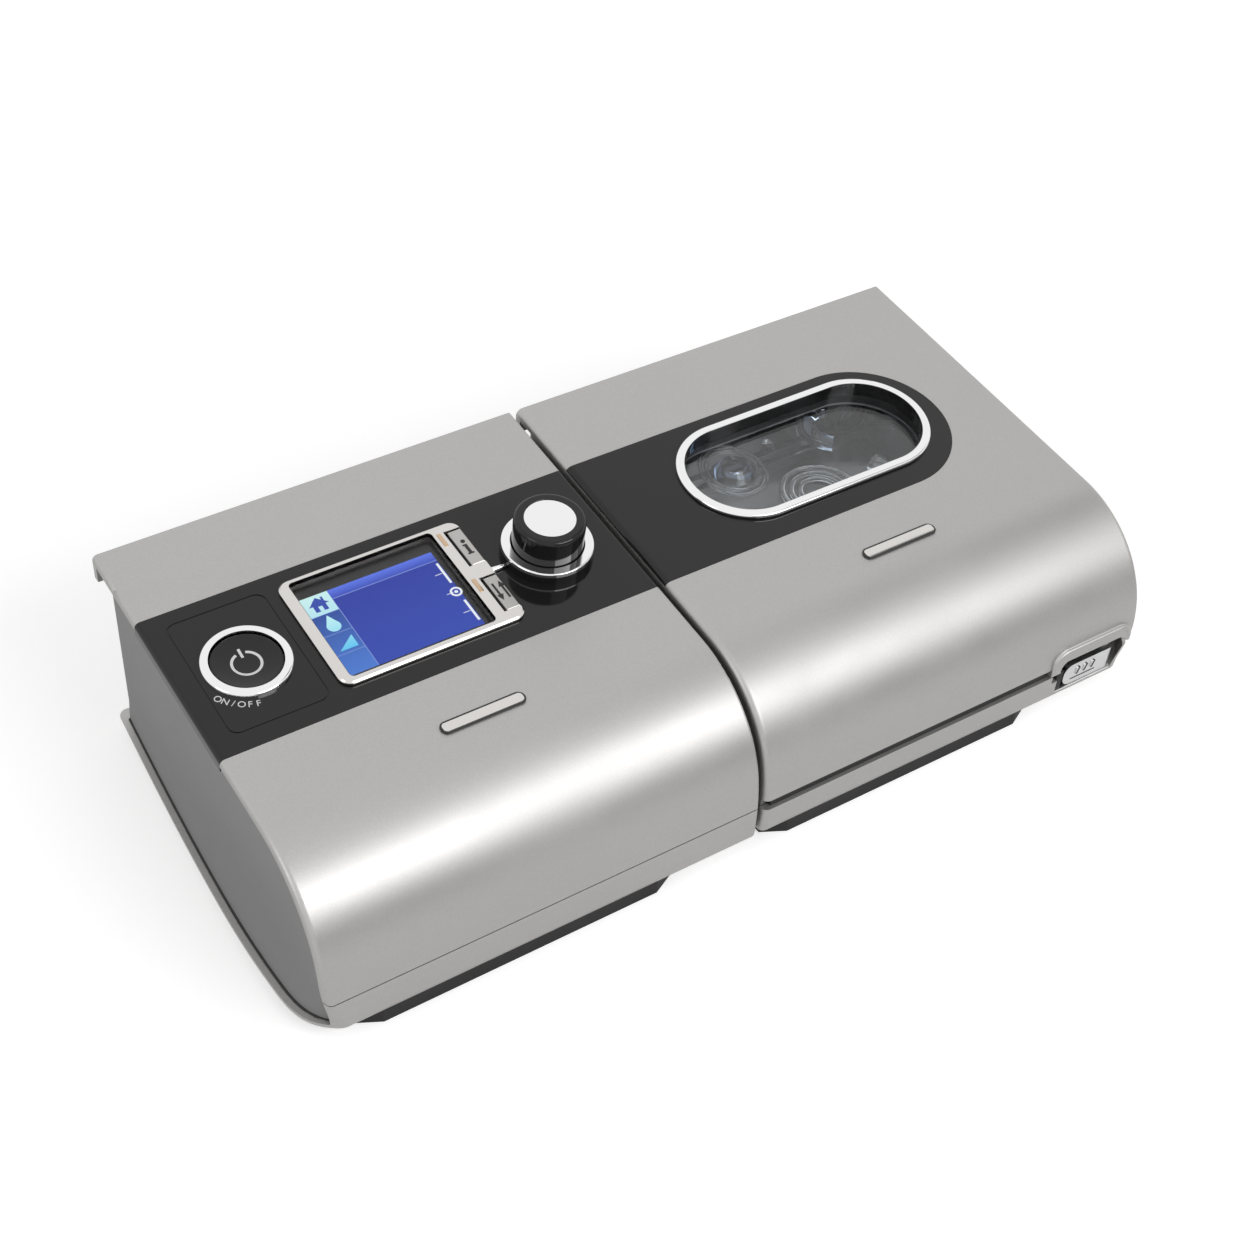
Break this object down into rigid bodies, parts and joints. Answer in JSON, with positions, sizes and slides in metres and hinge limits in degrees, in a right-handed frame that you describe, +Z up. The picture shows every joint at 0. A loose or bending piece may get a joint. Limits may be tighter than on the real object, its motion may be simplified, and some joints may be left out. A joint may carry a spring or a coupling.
{
  "type": "cpap machine",
  "caption": "Bedside breathing machine with a docked heated humidifier: sloping silver case, black control band, screen, push dial, hinged window lid and hose port.",
  "frame": {"origin": "on the table under the middle of the machine", "axes": "+X along the width to the right, the front with the controls faces -Y, +Z up"},
  "size_m": [0.3146, 0.1499, 0.0791],
  "materials": {
    "silver_paint": "satin metallic silver paint on moulded plastic",
    "grey_panel": "fine matte mid grey moulded plastic",
    "black_gloss": "glossy black moulded plastic",
    "black_matte": "matte black moulded plastic",
    "chrome": "bright chrome plating",
    "satin_trim": "satin nickel trim",
    "key_silver": "satin silver key",
    "screen_glass": "clear window with a dark border",
    "screen_image": "lit blue colour display",
    "clear_plastic": "clear moulded plastic",
    "rubber": "soft black rubber",
    "seal_rubber": "grey silicone rubber",
    "foam": "open-cell acoustic foam",
    "filter_media": "white pleated filter fibre",
    "board_green": "green circuit board with components",
    "white_plastic": "off-white moulded plastic",
    "steel": "bright turned steel",
    "aluminium": "plain aluminium"
  },
  "bodies": {
    "housing": {"air_filter": "filter_media", "air_outlet": "black_matte", "blower_motor": "steel", "blower_mounts": "seal_rubber", "blower_volute_lower": "white_plastic", "blower_volute_upper": "white_plastic", "card_socket": "steel", "case_screws": "steel", "control_board": "board_green", "control_fascia": "black_gloss", "dial_base": "black_gloss", "dial_ring": "chrome", "dock_connector": "black_matte", "encoder_body": "black_matte", "fg_badge": "satin_trim", "fg_base_tray": "silver_paint", "fg_inner_panel": "grey_panel", "fg_left_panel": "grey_panel", "fg_rear_panel": "grey_panel", "fg_top_shell": "silver_paint", "heater_plate": "aluminium", "hinge_pins": "steel", "hm_base_tray": "silver_paint", "hm_board": "board_green", "hm_chamber_liner": "black_matte", "hm_left_panel": "grey_panel", "hm_rear_panel": "grey_panel", "hm_right_panel": "grey_panel", "inlet_foam": "foam", "lcd_module": "screen_image", "main_board": "board_green", "outlet_duct": "seal_rubber", "power_socket": "black_matte", "rubber_feet": "rubber", "screen_bezel": "satin_trim", "screen_window": "screen_glass", "start_ring": "chrome", "tact_switches": "black_matte", "tub_base": "clear_plastic", "tub_lid": "clear_plastic", "tub_plate": "steel"},
    "start_button": {"start_button": "black_gloss"},
    "info_key": {"info_key": "key_silver"},
    "setup_key": {"setup_key": "key_silver"},
    "dial_plunger": {"encoder_plunger": "steel"},
    "dial": {"dial_shaft": "steel", "dial_knob": "black_gloss", "dial_cap": "chrome"},
    "impeller": {"impeller": "white_plastic", "motor_shaft": "steel"},
    "lid": {"lid_shell": "silver_paint", "lid_fascia": "black_gloss", "window_ring": "chrome", "window_lens": "clear_plastic", "lid_liner": "black_matte", "lid_seal": "seal_rubber", "lid_badge": "satin_trim"},
    "latch": {"latch_slider": "chrome"},
    "filter_cover": {"filter_cover": "grey_panel"},
    "memory_card": {"memory_card": "black_matte"}
  },
  "joints": [
    {"name": "start_press", "type": "slide", "parent": "housing", "child": "start_button", "axis": [0, 0.0872, -0.9962], "range_m": [0, 0.001], "stiffness_N_per_m": 300, "springref_m": -0.001},
    {"name": "info_press", "type": "slide", "parent": "housing", "child": "info_key", "axis": [0, 0.0872, -0.9962], "range_m": [0, 0.0008], "stiffness_N_per_m": 300, "springref_m": -0.001},
    {"name": "setup_press", "type": "slide", "parent": "housing", "child": "setup_key", "axis": [0, 0.0872, -0.9962], "range_m": [0, 0.0008], "stiffness_N_per_m": 300, "springref_m": -0.001},
    {"name": "dial_push", "type": "slide", "parent": "housing", "child": "dial_plunger", "axis": [0, 0.0872, -0.9962], "range_m": [0, 0.0008], "stiffness_N_per_m": 600, "springref_m": -0.001},
    {"name": "dial_turn", "type": "hinge", "parent": "dial_plunger", "child": "dial", "pos_m": [-0.0269, 0.015, 0.06425], "axis": [0, -0.0872, 0.9962], "continuous": true},
    {"name": "impeller_spin", "type": "hinge", "parent": "housing", "child": "impeller", "pos_m": [-0.082, -0.004, 0.025], "axis": [0, 0, 1], "continuous": true},
    {"name": "lid_hinge", "type": "hinge", "parent": "housing", "child": "lid", "pos_m": [0.0745, 0.0705, 0.0625], "axis": [-1, 0, 0], "range_deg": [0, 90]},
    {"name": "latch_slide", "type": "slide", "parent": "housing", "child": "latch", "axis": [1, 0, 0], "range_m": [0, 0.0018], "stiffness_N_per_m": 200, "springref_m": -0.002},
    {"name": "filter_cover_pull", "type": "slide", "parent": "housing", "child": "filter_cover", "axis": [0, 1, 0], "range_m": [0, 0.012]},
    {"name": "card_slide", "type": "slide", "parent": "housing", "child": "memory_card", "axis": [0, 1, 0], "range_m": [0, 0.014]}
  ]
}
